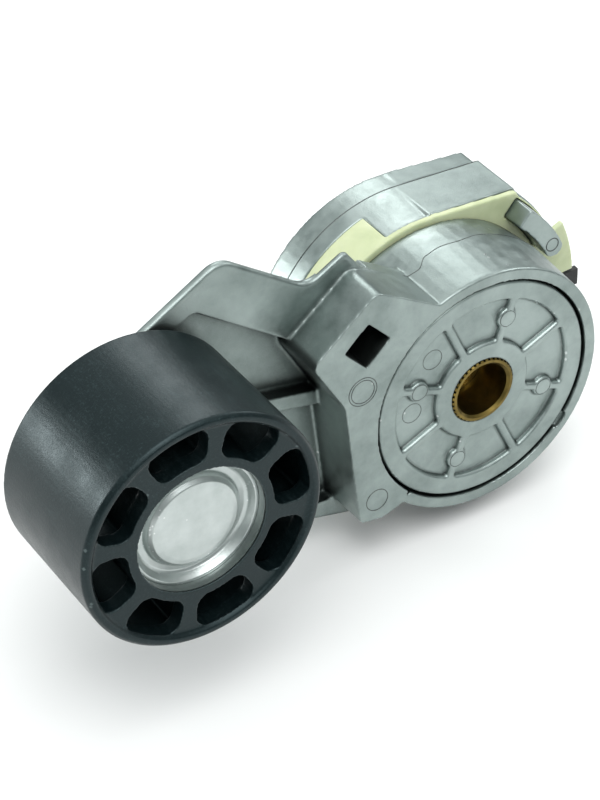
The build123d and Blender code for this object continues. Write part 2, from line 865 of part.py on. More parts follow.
# Distances in from the rim of the cap to the bends of its sheet, front side then back side.
cap_profile = [
    (0, cap_face + cap_crown),
    (cap_radius - 9.8, cap_face + 0.6 * cap_crown),
    (cap_radius - 7.9, cap_face + 0.15 * cap_crown),
    (cap_radius - 6.5, cap_face - 1.2),
    (cap_radius - 5.7, groove_floor),
    (cap_radius - 3.5, groove_floor),
    (cap_radius - 2.6, groove_floor + 0.6),
    (cap_radius - 1.1, cap_face),
    (cap_radius, cap_face),
    (cap_radius, cap_skirt_end),
    (cap_radius - cap_sheet, cap_skirt_end),
    (cap_radius - cap_sheet, cap_face - 1.8),
    (cap_radius - 1.8, groove_floor + 0.1),
    (cap_radius - 3.1, groove_back),
    (cap_radius - 6.4, groove_back),
    (cap_radius - 7.5, cap_face - 1.6),
    (cap_radius - 8.5, cap_face - 0.9),
    (cap_radius - 9.9, cap_face - 0.55),
    (0, cap_face - 0.3),
]
with BuildPart() as dust_cap:
    add(turned(cap_profile, pulley_at))
save(dust_cap, "dust_cap")


# ---------------------------------------------------------------- bearing
row_depths = [bearing_middle - row_spacing / 2, bearing_middle + row_spacing / 2]


def grooved_race(inner, outer):
    """Bearing ring with one ball groove for each row."""
    with BuildPart() as race:
        add(ring(inner, outer, bearing_rear, bearing_front, pulley_at))
        for depth in row_depths:
            with Locations(Location((pulley_x, -depth, pulley_z), (90, 0, 0))):
                Torus(pitch_radius, ball_radius + running_fit, mode=Mode.SUBTRACT)
    return race.part


with BuildPart() as bearing_outer_ring:
    add(grooved_race(race_outer, bearing_radius))
save(bearing_outer_ring, "bearing_outer_ring")

with BuildPart() as bearing_inner_ring:
    add(grooved_race(bearing_bore, race_inner))
save(bearing_inner_ring, "bearing_inner_ring")

with BuildPart() as bearing_balls:
    for depth in row_depths:
        with Locations(front_of_pulley(depth)):
            with PolarLocations(pitch_radius, ball_count):
                Sphere(ball_radius)
save(bearing_balls, "bearing_balls")

pocket_radius = ball_radius + running_fit
cage_half = pocket_radius + cage_bar
cage_inner = pitch_radius - cage_wall / 2
cage_outer = pitch_radius + cage_wall / 2

with BuildPart() as bearing_cage:
    for depth in row_depths:
        add(ring(cage_inner, cage_outer, depth - cage_half, depth + cage_half, pulley_at))
        with Locations(front_of_pulley(depth)):
            with PolarLocations(pitch_radius, ball_count):
                Cylinder(pocket_radius, 3 * cage_wall, rotation=(0, 90, 0), mode=Mode.SUBTRACT)
save(bearing_cage, "bearing_cage")



def bearing_seal(rear):
    """Flat seal ring between the two races, from its rear depth."""
    return ring(race_inner + free_gap, race_outer, rear, rear + seal_thickness, pulley_at)


with BuildPart() as front_bearing_seal:
    add(bearing_seal(bearing_front - seal_set_in - seal_thickness))
save(front_bearing_seal, "front_bearing_seal")

with BuildPart() as rear_bearing_seal:
    add(bearing_seal(bearing_rear + seal_set_in))
save(rear_bearing_seal, "rear_bearing_seal")

# ---------------------------------------------------------------- spacer, washer and bolt
with BuildPart() as bearing_spacer:
    add(ring(bearing_bore, race_inner + edge, post_front, bearing_rear, pulley_at))
save(bearing_spacer, "bearing_spacer")

clamp_washer_radius = race_inner + clamp_washer_overlap

with BuildPart() as clamp_washer:
    add(ring(bolt_radius + free_gap, clamp_washer_radius, bearing_front, washer_front, pulley_at))
save(clamp_washer, "clamp_washer")

with BuildPart() as pulley_bolt:
    with BuildSketch(front_of_pulley(washer_front)):
        RegularPolygon(bolt_head_flats / 2, 6, major_radius=False)
    extrude(amount=bolt_head_height)
    with BuildSketch(front_of_pulley(washer_front)):
        Circle(bolt_radius)
    extrude(amount=bolt_tip_gap - bolt_hole_depth)
save(pulley_bolt, "pulley_bolt")
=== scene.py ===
"""Looks of a spring-loaded belt tensioner with an idler pulley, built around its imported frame.

Everything is in metres. The pivot axis lies along Y through the origin, the pulley stands
forward towards -Y, the arm reaches out towards -X and +Z is up.
"""

from __future__ import annotations

import logging
import math
from dataclasses import dataclass, field
from enum import Enum
from typing import Callable, Sequence, Union

import bmesh
import bpy
import numpy as np
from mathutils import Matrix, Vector
from mathutils.bvhtree import BVHTree


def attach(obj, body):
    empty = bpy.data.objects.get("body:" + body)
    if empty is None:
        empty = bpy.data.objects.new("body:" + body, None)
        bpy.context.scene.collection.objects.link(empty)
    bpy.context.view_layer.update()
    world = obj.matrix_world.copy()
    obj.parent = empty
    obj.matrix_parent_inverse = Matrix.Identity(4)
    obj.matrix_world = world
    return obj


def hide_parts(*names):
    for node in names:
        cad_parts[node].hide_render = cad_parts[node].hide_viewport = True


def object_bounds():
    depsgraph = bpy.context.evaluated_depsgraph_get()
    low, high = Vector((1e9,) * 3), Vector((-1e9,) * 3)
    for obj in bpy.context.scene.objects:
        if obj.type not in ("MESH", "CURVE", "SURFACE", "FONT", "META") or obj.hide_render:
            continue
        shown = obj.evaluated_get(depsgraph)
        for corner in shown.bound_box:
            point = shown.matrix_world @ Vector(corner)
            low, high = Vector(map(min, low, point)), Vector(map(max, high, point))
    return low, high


log = logging.getLogger("tensioner")
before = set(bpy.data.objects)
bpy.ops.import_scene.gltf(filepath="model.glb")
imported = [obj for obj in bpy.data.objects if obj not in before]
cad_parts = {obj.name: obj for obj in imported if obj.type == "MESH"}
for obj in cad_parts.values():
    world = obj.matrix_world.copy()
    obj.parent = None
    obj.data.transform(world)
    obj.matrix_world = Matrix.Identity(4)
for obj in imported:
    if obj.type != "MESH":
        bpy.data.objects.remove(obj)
cad_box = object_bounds()

MM = 0.001
# Samples of the occlusion mask that paints shade into hollows.
OCCLUSION_SHADE_SAMPLES = 8


# ---------------------------------------------------------------- shader expressions
class Wire:
    """An output of a shader node. Python's operators on it add Math nodes."""

    def __init__(self, shader: Shader, socket: bpy.types.NodeSocket) -> None:
        """Wrap one output.

        Args:
            shader: The shader that the output belongs to.
            socket: The output socket.
        """
        self.shader = shader
        self.socket = socket

    def _math(self, operation: str, first: Operand, second: Operand) -> Wire:
        """Join two operands with a Math node.

        Args:
            operation: The Math node's operation.
            first: The first operand.
            second: The second operand.

        Returns:
            The node's output.
        """
        settings = {"operation": operation}
        return self.shader.node("ShaderNodeMath", settings, {0: first, 1: second})

    def __add__(self, other: Operand) -> Wire:
        """Sum."""
        return self._math("ADD", self, other)

    def __radd__(self, other: Operand) -> Wire:
        """Sum with a number on the left."""
        return self._math("ADD", other, self)

    def __sub__(self, other: Operand) -> Wire:
        """Difference."""
        return self._math("SUBTRACT", self, other)

    def __rsub__(self, other: Operand) -> Wire:
        """Difference with a number on the left."""
        return self._math("SUBTRACT", other, self)

    def __mul__(self, other: Operand) -> Wire:
        """Product."""
        return self._math("MULTIPLY", self, other)

    def __rmul__(self, other: Operand) -> Wire:
        """Product with a number on the left."""
        return self._math("MULTIPLY", other, self)

    def above(self, limit: Operand) -> Wire:
        """One where the value is above a limit, and nought elsewhere."""
        return self._math("GREATER_THAN", self, limit)


Operand = Union[Wire, float]
Colour = tuple[float, float, float, float]


class Shader:
    """A material whose surface is one Principled node, with helpers that add nodes to it."""

    def __init__(self, name: str) -> None:
        """Start an empty material.

        Args:
            name: The material's name.
        """
        self.material = bpy.data.materials.new(name)
        self.material.use_nodes = True
        self.tree = self.material.node_tree
        self.tree.nodes.clear()
        output = self.tree.nodes.new("ShaderNodeOutputMaterial")
        self.surface = self.tree.nodes.new("ShaderNodeBsdfPrincipled")
        self.tree.links.new(self.surface.outputs[0], output.inputs["Surface"])

    def node(
        self,
        kind: str,
        settings: dict[str, object] | None = None,
        inputs: dict[str | int, object] | None = None,
        output: str | int = 0,
    ) -> Wire:
        """Add one node.

        Args:
            kind: The node's type.
            settings: What is set on the node itself, or the stops of its ramp.
            inputs: Values or wires for its sockets, by name or number.
            output: The output to give back.

        Returns:
            The chosen output.
        """
        made = self.tree.nodes.new(kind)
        for name, value in (settings or {}).items():
            if name == "stops":
                self.set_stops(made.color_ramp, value)
            else:
                setattr(made, name, value)
        for name, value in (inputs or {}).items():
            self.feed(made.inputs[name], value)
        return Wire(self, made.outputs[output])

    def feed(self, socket: bpy.types.NodeSocket, value: object) -> None:
        """Give a socket a value, or link a wire to it.

        Args:
            socket: The input socket.
            value: A number, a colour, a vector or a wire.
        """
        if isinstance(value, Wire):
            self.tree.links.new(value.socket, socket)
        else:
            socket.default_value = value

    @staticmethod
    def set_stops(ramp: bpy.types.ColorRamp, stops: Sequence[tuple[float, Colour]]) -> None:
        """Give a ramp its stops.

        Args:
            ramp: The ramp.
            stops: Position and colour of each stop, in order.
        """
        while len(ramp.elements) < len(stops):
            ramp.elements.new(1.0)
        for element, (position, colour) in zip(ramp.elements, stops):
            element.position = position
            element.color = colour

    def place(self, stretch: Vector | None = None) -> Wire:
        """Point of the object, in metres, stretched along its axes.

        Args:
            stretch: Factors along X, Y and Z.

        Returns:
            The point.
        """
        point = self.node("ShaderNodeTexCoord", output="Object")
        if stretch is None:
            return point
        return self.node("ShaderNodeVectorMath", {"operation": "MULTIPLY"}, {0: point, 1: stretch})

    def noise(
        self,
        size: float,
        detail: float = 2.0,
        roughness: float = 0.5,
        distortion: float = 0.0,
        stretch: Vector | None = None,
    ) -> Wire:
        """Cloudy pattern from nought to one.

        Args:
            size: Width of its blotches in metres.
            detail: Number of finer layers.
            roughness: Strength of the finer layers.
            distortion: How much it swirls.
            stretch: Factors on the point along X, Y and Z.

        Returns:
            The pattern.
        """
        inputs = {
            "Vector": self.place(stretch),
            "Scale": 1 / size,
            "Detail": detail,
            "Roughness": roughness,
            "Distortion": distortion,
        }
        return self.node("ShaderNodeTexNoise", inputs=inputs)

    def ramp(self, value: Wire, low: float, high: float) -> Wire:
        """Value spread so that low gives nought and high gives one, held at both ends.

        Args:
            value: The value.
            low: What gives nought.
            high: What gives one.

        Returns:
            The spread value.
        """
        inputs = {"Value": value, "From Min": low, "From Max": high}
        return self.node("ShaderNodeMapRange", {"clamp": True}, inputs)

    def mix(self, share: Operand, first: Wire | Colour, second: Wire | Colour) -> Wire:
        """Blend of two colours.

        Args:
            share: How much of the second one.
            first: The first colour.
            second: The second colour.

        Returns:
            The blend.
        """
        settings = {"data_type": "RGBA"}
        return self.node("ShaderNodeMix", settings, {0: share, 6: first, 7: second}, output=2)

    def edges(self, low: float, high: float) -> Wire:
        """One on outer edges and corners, nought elsewhere.

        Args:
            low: Sharpness that gives nought.
            high: Sharpness that gives one.

        Returns:
            The edge mask.
        """
        return self.ramp(self.node("ShaderNodeNewGeometry", output="Pointiness"), low, high)

    def hollows(self, low: float, high: float) -> Wire:
        """One in inner corners, nought elsewhere.

        Args:
            low: Sharpness that gives one.
            high: Sharpness that gives nought.

        Returns:
            The hollow mask.
        """
        return 1 - self.edges(low, high)

    def occlusion_shade(self, reach: float, local: bool = True) -> Wire:
        """Mask for painted shade: one deep inside hollows, nought in the open.

        Args:
            reach: How wide a hollow may be, in metres.
            local: Whether only the piece itself closes a hollow in.

        Returns:
            The grime mask.
        """
        settings = {"samples": OCCLUSION_SHADE_SAMPLES, "only_local": local}
        inputs = {"Distance": reach}
        return 1 - self.node("ShaderNodeAmbientOcclusion", settings, inputs, output="AO")

    def rings(self, pitch: float) -> Wire:
        """Uneven rings about the pivot axis, from nought to one.

        Args:
            pitch: Distance from ring to ring in metres.

        Returns:
            The pattern.
        """
        flat = self.place(Vector((1.0, 0.0, 1.0)))
        settings = {"operation": "LENGTH"}
        reach = self.node("ShaderNodeVectorMath", settings, {0: flat}, output="Value")
        inputs = {"W": reach, "Scale": 1 / pitch, "Detail": 2.0}
        return self.node("ShaderNodeTexNoise", {"noise_dimensions": "1D"}, inputs)

    def bump(self, height: Wire, depth: float, under: Wire | None = None) -> Wire:
        """Surface normal tilted by a height pattern.

        Args:
            height: The pattern, from nought to one.
            depth: Its height in metres.
            under: A coarser bump below this one.

        Returns:
            The normal.
        """
        inputs: dict[str | int, object] = {"Height": height, "Distance": depth, "Strength": 1.0}
        if under is not None:
            inputs["Normal"] = under
        return self.node("ShaderNodeBump", inputs=inputs)

    def set(self, **values: object) -> None:
        """Give the surface its inputs, named with underscores for spaces."""
        for name, value in values.items():
            self.feed(self.surface.inputs[name.replace("_", " ")], value)


def grey(level: float, cool: float = 0.0) -> Colour:
    """Grey of a level, drawn towards blue-green by a share."""
    return (level * (1 - cool), level, level * (1 - cool / 4), 1.0)


# ---------------------------------------------------------------- finishes
class Slot(Enum):
    """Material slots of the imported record."""

    CAST = "cast_aluminium"
    STEEL = "machined_steel"
    ZINC = "yellow_zinc"
    BRONZE = "bronze"
    RUBBER = "black_rubber"
    NYLON = "natural_nylon"
    CAGE = "cage_nylon"
    SPRING = "spring_steel"
    BEARING = "bearing_steel"
    CAP = "zinc_sheet"
    PULLEY = "black_pulley"


@dataclass(frozen=True)
class CastAluminium:
    """Die-cast aluminium: satin skin with flow mottling, edges paled by rubbed wear and a painted
    highlight, painted shade in creases and hollows, and an optional painted shadow.
    """

    name: str
    light: Colour = grey(0.46, 0.14)
    dark: Colour = grey(0.210, 0.19)
    # Near-black tone of the painted shade and the painted shadow.
    corner: Colour = grey(0.035, 0.18)
    # Pale tone of rubbed wear and of the painted edge highlight, also used on machined faces.
    bright_metal: Colour = grey(0.74, 0.05)
    blotch: float = 26 * MM
    blotch_range: tuple[float, float] = (0.34, 0.64)
    mottle: float = 5 * MM
    mottle_range: tuple[float, float] = (0.30, 0.70)
    blotch_share: float = 0.5
    mottle_share: float = 0.25
    grain_share: float = 0.25
    grain: float = 0.55 * MM
    pore_range: tuple[float, float] = (0.60, 0.72)
    pore_share: float = 0.25
    grain_depth: float = 0.060 * MM
    flow_depth: float = 0.10 * MM
    rubbed_highlight_range: tuple[float, float] = (0.53, 0.64)
    rubbed_highlight_share: float = 0.45
    rubbed_polish: float = 0.08
    crease_shade_range: tuple[float, float] = (0.42, 0.486)
    crease_shade_share: float = 0.9
    roughness: tuple[float, float] = (0.30, 0.46)
    roughness_range: tuple[float, float] = (0.25, 0.75)
    metallic: float = 0.92
    hollow_shade_reach: float = 9 * MM
    hollow_shade_range: tuple[float, float] = (0.30, 0.85)
    hollow_shade_share: float = 0.85
    shadow_reach: float = 34 * MM
    shadow_range: tuple[float, float] = (0.36, 0.66)
    shadow_share: float = 0.0
    machined_from: float | None = None
    machined_polish: float = 0.12
    machined_share: tuple[float, float] = (0.4, 0.9)
    cutter_pitch: float = 0.9 * MM
    cutter_depth: float = 0.03 * MM

    def material(self) -> bpy.types.Material:
        """Build the node material."""
        shader = Shader(self.name)
        cloud = shader.noise(self.blotch, detail=4, roughness=0.6, distortion=0.3)
        blotches = shader.ramp(cloud, *self.blotch_range)
        mottle = shader.ramp(
            shader.noise(self.mottle, detail=3, roughness=0.6), *self.mottle_range
        )
        grain = shader.noise(self.grain, detail=3, roughness=0.7)
        pores = shader.ramp(grain, *self.pore_range)
        edges = shader.edges(*self.rubbed_highlight_range)
        occlusion_shade = shader.ramp(shader.occlusion_shade(self.hollow_shade_reach), *self.hollow_shade_range)
        crease_shade_mask = shader.hollows(*self.crease_shade_range)

        tone = blotches * self.blotch_share + mottle * self.mottle_share + grain * self.grain_share
        colour = shader.mix(tone, self.dark, self.light)
        colour = shader.mix(pores * self.pore_share, colour, self.dark)
        # Painted shade: inner creases drawn towards the near-black tone.
        colour = shader.mix(crease_shade_mask * self.crease_shade_share, colour, self.corner)
        # Painted shade: hollows drawn towards the near-black tone.
        colour = shader.mix(occlusion_shade * self.hollow_shade_share, colour, self.corner)
        # Painted shadow that nearby pieces, such as the pulley, would cast.
        if self.shadow_share:
            shade = shader.occlusion_shade(self.shadow_reach, local=False)
            shadow = shader.ramp(shade, *self.shadow_range)
            colour = shader.mix(shadow * self.shadow_share, colour, self.corner)
        # Outer edges paled: rubbed wear together with a painted highlight.
        colour = shader.mix(edges * self.rubbed_highlight_share, colour, self.bright_metal)

        smooth, rough = self.roughness
        uneven = shader.ramp(mottle * 0.5 + grain * 0.5, *self.roughness_range)
        roughness = uneven * (rough - smooth) + smooth
        flow = shader.noise(self.blotch / 2, detail=3)
        normal = shader.bump(grain, self.grain_depth, shader.bump(flow, self.flow_depth))
        if self.machined_from is not None:
            depth = shader.node("ShaderNodeSeparateXYZ", inputs={0: shader.place()}, output="Y")
            machined = depth.above(self.machined_from)
            feed = shader.rings(self.cutter_pitch)
            least, most = self.machined_share
            bright = machined * (feed * (most - least) + least)
            colour = shader.mix(bright, colour, self.bright_metal)
            roughness = roughness - machined * self.machined_polish
            normal = shader.bump(feed * machined, self.cutter_depth, normal)
        shader.set(
            Base_Color=colour,
            Metallic=self.metallic,
            Roughness=roughness - edges * self.rubbed_polish,
            Normal=normal,
        )
        return shader.material


@dataclass(frozen=True)
class TurnedMetal:
    """Turned or ground metal with a fine lay across its axis along Y, and optional painted shade
    in its bore.
    """

    name: str
    light: Colour
    dark: Colour
    roughness: float = 0.22
    smudge: float = 9 * MM
    smudge_range: tuple[float, float] = (0.35, 0.7)
    smudge_roughness: float = 0.12
    lay_pitch: float = 0.35 * MM
    lay_stretch: float = 6.0
    lay_roughness: float = 0.08
    groove_depth: float = 0.012 * MM
    bore_shade_reach: float = 12 * MM
    bore_shade_range: tuple[float, float] = (0.35, 0.6)
    bore_shade_share: float = 0.0
    bore_shade_colour: Colour = (0.010, 0.008, 0.003, 1.0)

    def material(self) -> bpy.types.Material:
        """Build the node material."""
        shader = Shader(self.name)
        cloud = shader.noise(self.smudge, detail=3, roughness=0.6, distortion=0.3)
        smudge = shader.ramp(cloud, *self.smudge_range)
        stretch = Vector((1.0, self.lay_stretch, 1.0))
        lay = shader.noise(self.lay_pitch, detail=3, roughness=0.7, stretch=stretch)
        colour = shader.mix(smudge, self.light, self.dark)
        # Painted shade: the bore drawn towards a near-black tone.
        if self.bore_shade_share:
            inside = shader.ramp(shader.occlusion_shade(self.bore_shade_reach, local=False), *self.bore_shade_range)
            colour = shader.mix(inside * self.bore_shade_share, colour, self.bore_shade_colour)
        shader.set(
            Base_Color=colour,
            Metallic=1.0,
            Roughness=smudge * self.smudge_roughness
            + lay * self.lay_roughness
            + (self.roughness - self.lay_roughness),
            Normal=shader.bump(lay, self.groove_depth),
        )
        return shader.material


@dataclass(frozen=True)
class PressedZinc:
    """Zinc-plated sheet steel, softly grained by the press."""

    name: str = "pressed_zinc_sheet"
    light: Colour = grey(0.60, 0.07)
    dark: Colour = grey(0.46, 0.10)
    # Pale tone of rubbed wear and of the painted edge highlight.
    bright_metal: Colour = grey(0.85, 0.01)
    rubbed_highlight_range: tuple[float, float] = (0.52, 0.62)
    rubbed_highlight_share: float = 0.8
    cloud: float = 11 * MM
    cloud_range: tuple[float, float] = (0.3, 0.7)
    cloud_roughness: float = 0.08
    speck: float = 0.5 * MM
    speck_roughness: float = 0.08
    speck_depth: float = 0.02 * MM
    roughness: float = 0.27
    metallic: float = 0.95

    def material(self) -> bpy.types.Material:
        """Build the node material."""
        shader = Shader(self.name)
        cloud = shader.ramp(shader.noise(self.cloud, detail=4, roughness=0.6), *self.cloud_range)
        speckle = shader.noise(self.speck, roughness=0.6)
        # Outer edges paled: rubbed wear together with a painted highlight.
        bright_metal = shader.edges(*self.rubbed_highlight_range)
        colour = shader.mix(cloud, self.light, self.dark)
        shader.set(
            Base_Color=shader.mix(bright_metal * self.rubbed_highlight_share, colour, self.bright_metal),
            Metallic=self.metallic,
            Roughness=cloud * self.cloud_roughness
            + speckle * self.speck_roughness
            + self.roughness,
            Normal=shader.bump(speckle, self.speck_depth),
        )
        return shader.material


@dataclass(frozen=True)
class BlackPulleySkin:
    """Black glass-filled nylon: a satin skin with handling scuffs, paler edges from wear and a
    painted highlight, and painted shade in its windows.
    """

    name: str = "black_pulley_skin"
    base: Colour = (0.0020, 0.0052, 0.0060, 1.0)
    scuffed: Colour = (0.034, 0.056, 0.058, 1.0)
    edge: Colour = (0.110, 0.140, 0.140, 1.0)
    window_shade: Colour = (0.0004, 0.0004, 0.0004, 1.0)
    window_shade_reach: float = 12 * MM
    window_shade_range: tuple[float, float] = (0.42, 0.62)
    cloud: float = 13 * MM
    cloud_range: tuple[float, float] = (0.35, 0.68)
    cloud_roughness: float = 0.10
    scuff: float = 1.4 * MM
    scuff_stretch: float = 0.12
    scuff_range: tuple[float, float] = (0.52, 0.74)
    scuff_share: float = 0.30
    speck: float = 0.8 * MM
    speck_range: tuple[float, float] = (0.54, 0.72)
    speck_share: tuple[float, float] = (0.15, 0.5)
    speck_roughness: float = 0.16
    speck_depth: float = 0.05 * MM
    worn_highlight_range: tuple[float, float] = (0.52, 0.62)
    worn_highlight_share: float = 0.7
    roughness: float = 0.24
    specular: float = 0.36
    specular_tint: Colour = (0.72, 0.96, 1.0, 1.0)

    def material(self) -> bpy.types.Material:
        """Build the node material."""
        shader = Shader(self.name)
        clouds = shader.ramp(shader.noise(self.cloud, detail=4, roughness=0.6), *self.cloud_range)
        stretch = Vector((1.0, self.scuff_stretch, 1.0))
        scuffs = shader.noise(self.scuff, detail=3, roughness=0.7, distortion=0.4, stretch=stretch)
        along = shader.ramp(scuffs, *self.scuff_range)
        speckle = shader.noise(self.speck, detail=3, roughness=0.75)
        specks = shader.ramp(speckle, *self.speck_range)
        # Paler sharp edges: wear together with a painted highlight.
        worn_highlight = shader.edges(*self.worn_highlight_range)
        # Painted shade: near-black and without reflection deep inside the windows.
        inside = shader.ramp(shader.occlusion_shade(self.window_shade_reach), *self.window_shade_range)
        everywhere, in_clouds = self.speck_share
        marks = (
            along * self.scuff_share * clouds
            + specks * in_clouds * clouds
            + specks * everywhere
        )
        colour = shader.mix(marks, self.base, self.scuffed)
        colour = shader.mix(worn_highlight * self.worn_highlight_share, colour, self.edge)
        shader.set(
            Base_Color=shader.mix(inside, colour, self.window_shade),
            Metallic=inside,
            Roughness=clouds * self.cloud_roughness
            + speckle * self.speck_roughness
            + self.roughness,
            Specular_IOR_Level=self.specular,
            Specular_Tint=self.specular_tint,
            Normal=shader.bump(speckle, self.speck_depth),
        )
        return shader.material


@dataclass(frozen=True)
class MouldedPlastic:
    """Moulded plastic with a fine skin and a slightly uneven tint."""

    name: str
    light: Colour
    dark: Colour
    roughness: float = 0.42
    glow: float = 0.0
    glow_radius: tuple[float, float, float] = (1.0, 1.0, 0.6)
    glow_scale: float = 1.2 * MM
    cloud: float = 14 * MM
    cloud_range: tuple[float, float] = (0.3, 0.7)
    cloud_roughness: float = 0.08
    grain: float = 0.8 * MM
    grain_roughness: float = 0.06
    grain_depth: float = 0.02 * MM
    crease_shade_range: tuple[float, float] = (0.42, 0.49)
    crease_shade_share: float = 0.5

    def material(self) -> bpy.types.Material:
        """Build the node material."""
        shader = Shader(self.name)
        cloud = shader.noise(self.cloud, detail=3, roughness=0.55, distortion=0.5)
        tint = shader.ramp(cloud, *self.cloud_range)
        skin = shader.noise(self.grain)
        # Painted shade: inner creases drawn towards the dark tone.
        painted_crease_shade = shader.hollows(*self.crease_shade_range)
        colour = shader.mix(tint, self.light, self.dark)
        shader.set(
            Base_Color=shader.mix(painted_crease_shade * self.crease_shade_share, colour, self.dark),
            Roughness=tint * self.cloud_roughness
            + skin * self.grain_roughness
            + (self.roughness - self.grain_roughness),
            Subsurface_Weight=self.glow,
            Subsurface_Radius=self.glow_radius,
            Subsurface_Scale=self.glow_scale,
            Normal=shader.bump(skin, self.grain_depth),
        )
        return shader.material


@dataclass(frozen=True)
class Rubber:
    """Matt black rubber with a dusty bloom."""

    name: str = "moulded_rubber"
    dark: Colour = (0.010, 0.010, 0.011, 1.0)
    dusty: Colour = (0.045, 0.045, 0.044, 1.0)
    bloom: float = 3 * MM
    bloom_range: tuple[float, float] = (0.4, 0.75)
    bloom_share: float = 0.5
    bloom_roughness: float = 0.15
    roughness: float = 0.58
    grain: float = 0.6 * MM
    grain_depth: float = 0.03 * MM

    def material(self) -> bpy.types.Material:
        """Build the node material."""
        shader = Shader(self.name)
        bloom = shader.ramp(shader.noise(self.bloom, detail=4, roughness=0.6), *self.bloom_range)
        shader.set(
            Base_Color=shader.mix(bloom * self.bloom_share, self.dark, self.dusty),
            Roughness=bloom * self.bloom_roughness + self.roughness,
            Normal=shader.bump(shader.noise(self.grain), self.grain_depth),
        )
        return shader.material


class Variant(Enum):
    """Finishes that take their slot's metal but look different on some pieces."""

    FLASH = "parting_flash"
    MACHINED_BASE = "machined_base"
    COVER = "cover_casting"
    ARM = "arm_casting"
    LINER = "liner_steel"


def finishes() -> dict[Slot | Variant, bpy.types.Material]:
    """Build the materials. Every casting takes a variant, so the cast slot has none of its own.

    Returns:
        The materials by slot or variant.
    """
    flash = CastAluminium(
        "parting_flash_skin", grey(0.10, 0.16), grey(0.04, 0.18), rubbed_highlight_share=0.1
    )
    base = CastAluminium("base_aluminium_skin", machined_from=-0.25 * MM)
    arm = CastAluminium("arm_aluminium_skin", shadow_share=0.92)
    cover = CastAluminium(
        "cover_aluminium_skin",
        rubbed_highlight_share=0.7,
        crease_shade_range=(0.450, 0.496),
        hollow_shade_reach=3 * MM,
        hollow_shade_share=0.8,
    )
    liner = TurnedMetal("liner_steel_skin", grey(0.42, 0.08), grey(0.24, 0.11), roughness=0.34)
    steel = TurnedMetal("machined_steel_skin", grey(0.62, 0.05), grey(0.42, 0.07), roughness=0.26)
    zinc = TurnedMetal(
        "yellow_zinc_skin", (0.62, 0.50, 0.26, 1.0), (0.48, 0.40, 0.24, 1.0), roughness=0.28
    )
    bronze = TurnedMetal(
        "bronze_skin",
        (0.22, 0.16, 0.045, 1.0),
        (0.09, 0.065, 0.02, 1.0),
        roughness=0.34,
        bore_shade_share=0.97,
    )
    spring = TurnedMetal("spring_steel_skin", grey(0.17), grey(0.10), roughness=0.36)
    bearing = TurnedMetal("bearing_steel_skin", grey(0.66, 0.01), grey(0.52, 0.01), roughness=0.12)
    nylon = MouldedPlastic(
        "natural_nylon_skin",
        (0.60, 0.65, 0.42, 1.0),
        (0.47, 0.53, 0.31, 1.0),
        roughness=0.45,
        glow=0.25,
    )
    cage = MouldedPlastic(
        "cage_nylon_skin", (0.36, 0.27, 0.14, 1.0), (0.27, 0.20, 0.10, 1.0), roughness=0.45
    )
    return {
        Variant.FLASH: flash.material(),
        Variant.MACHINED_BASE: base.material(),
        Variant.ARM: arm.material(),
        Variant.COVER: cover.material(),
        Variant.LINER: liner.material(),
        Slot.STEEL: steel.material(),
        Slot.ZINC: zinc.material(),
        Slot.BRONZE: bronze.material(),
        Slot.RUBBER: Rubber().material(),
        Slot.NYLON: nylon.material(),
        Slot.CAGE: cage.material(),
        Slot.SPRING: spring.material(),
        Slot.BEARING: bearing.material(),
        Slot.CAP: PressedZinc().material(),
        Slot.PULLEY: BlackPulleySkin().material(),
    }


# ---------------------------------------------------------------- meshes
def link(name: str, mesh: bpy.types.Mesh) -> bpy.types.Object:
    """Put a mesh in the scene as an object at the origin.

    Args:
        name: The object's name.
        mesh: Its mesh.

    Returns:
        The object.
    """
    made = bpy.data.objects.new(name, mesh)
    bpy.context.scene.collection.objects.link(made)
    return made


def solved(piece: bpy.types.Object) -> bpy.types.Mesh:
    """Mesh of a piece with its modifiers worked in.

    Args:
        piece: The piece.

    Returns:
        A new mesh.
    """
    bpy.context.view_layer.update()
    graph = bpy.context.evaluated_depsgraph_get()
    return bpy.data.meshes.new_from_object(piece.evaluated_get(graph))


def smooth_faces(mesh: bpy.types.Mesh) -> None:
    """Shade every face of a mesh smoothly."""
    mesh.polygons.foreach_set("use_smooth", np.ones(len(mesh.polygons), bool))
    mesh.update()


@dataclass(frozen=True)
class SoftEdges:
    """Softens the edges of a CAD piece, as casting or moulding does."""

    grid: float
    passes: int
    relax: float = 0.5
    weld: float = 0.002 * MM

    def apply(self, node: str, name: str) -> bpy.types.Object:
        """Make a softened copy of a CAD node.

        Args:
            node: The CAD node.
            name: Name of the copy.

        Returns:
            The copy, which stands for the node.
        """
        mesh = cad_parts[node].data.copy()
        mesh.materials.clear()
        work = bmesh.new()
        work.from_mesh(mesh)
        bmesh.ops.remove_doubles(work, verts=work.verts, dist=self.weld)
        work.to_mesh(mesh)
        work.free()
        copy = link(name, mesh)
        remesh = copy.modifiers.new("skin", "REMESH")
        remesh.mode = "VOXEL"
        remesh.voxel_size = self.grid
        relax = copy.modifiers.new("relax", "SMOOTH")
        relax.factor = self.relax
        relax.iterations = self.passes
        made = solved(copy)
        copy.modifiers.clear()
        copy.data = made
        smooth_faces(made)
        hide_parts(node)
        return copy


def polar(radius: float, degrees: float, y: float) -> Vector:
    """Point at a radius and an angle about the pivot axis, from +X towards +Z."""
    turn = math.radians(degrees)
    return Vector((radius * math.cos(turn), y, radius * math.sin(turn)))


